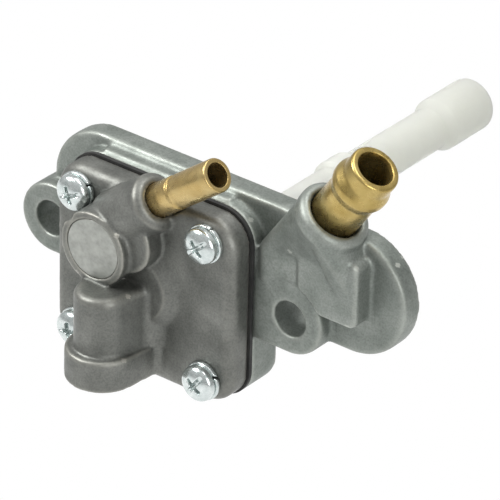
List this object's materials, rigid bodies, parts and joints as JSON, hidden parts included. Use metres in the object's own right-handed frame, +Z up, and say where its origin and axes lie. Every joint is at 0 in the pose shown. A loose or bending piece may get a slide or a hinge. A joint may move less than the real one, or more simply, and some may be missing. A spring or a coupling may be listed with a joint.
{
  "type": "fuel tap",
  "caption": "Vacuum-worked fuel tap with a die-cast flange body, screwed diaphragm cover, brass hose spigots and a nylon strainer tube for the tank.",
  "frame": {"origin": "centre of the strainer bore on the face that seals to the tank", "axes": "+X to the right along the tank flange, +Y along the strainer into the tank, +Z up"},
  "size_m": [0.0862, 0.0948, 0.0603],
  "materials": {
    "cast_body": "as cast, cool grey",
    "cast_cover": "as cast, warm grey",
    "plug": "plain stamped disc, satin",
    "brass_small": "turned, bright",
    "brass_large": "turned, slightly tarnished",
    "zinc_steel": "bright zinc plate",
    "spring_steel": "drawn wire",
    "rubber": "matt black",
    "nylon": "translucent white, smooth"
  },
  "bodies": {
    "housing": {"main_body": "cast_body", "tank_o_ring": "rubber", "strainer_tube": "nylon", "diaphragm_cover": "cast_cover", "cover_plug": "plug", "diaphragm_gasket": "rubber", "valve_seat": "brass_small", "diaphragm_spring": "spring_steel", "vacuum_spigot": "brass_small", "fuel_outlet_spigot": "brass_large", "cover_screws": "zinc_steel", "spring_washers": "zinc_steel"},
    "diaphragm_valve": {"diaphragm_web": "rubber", "diaphragm_plate_front": "zinc_steel", "diaphragm_plate_rear": "zinc_steel", "valve_stem": "zinc_steel", "valve_seal": "rubber"}
  },
  "joints": [
    {"name": "valve_lift", "type": "slide", "parent": "housing", "child": "diaphragm_valve", "axis": [0, -1, 0], "range_m": [0, 0.0015], "stiffness_N_per_m": 400, "springref_m": -0.003, "deforming": ["diaphragm_spring"]}
  ]
}
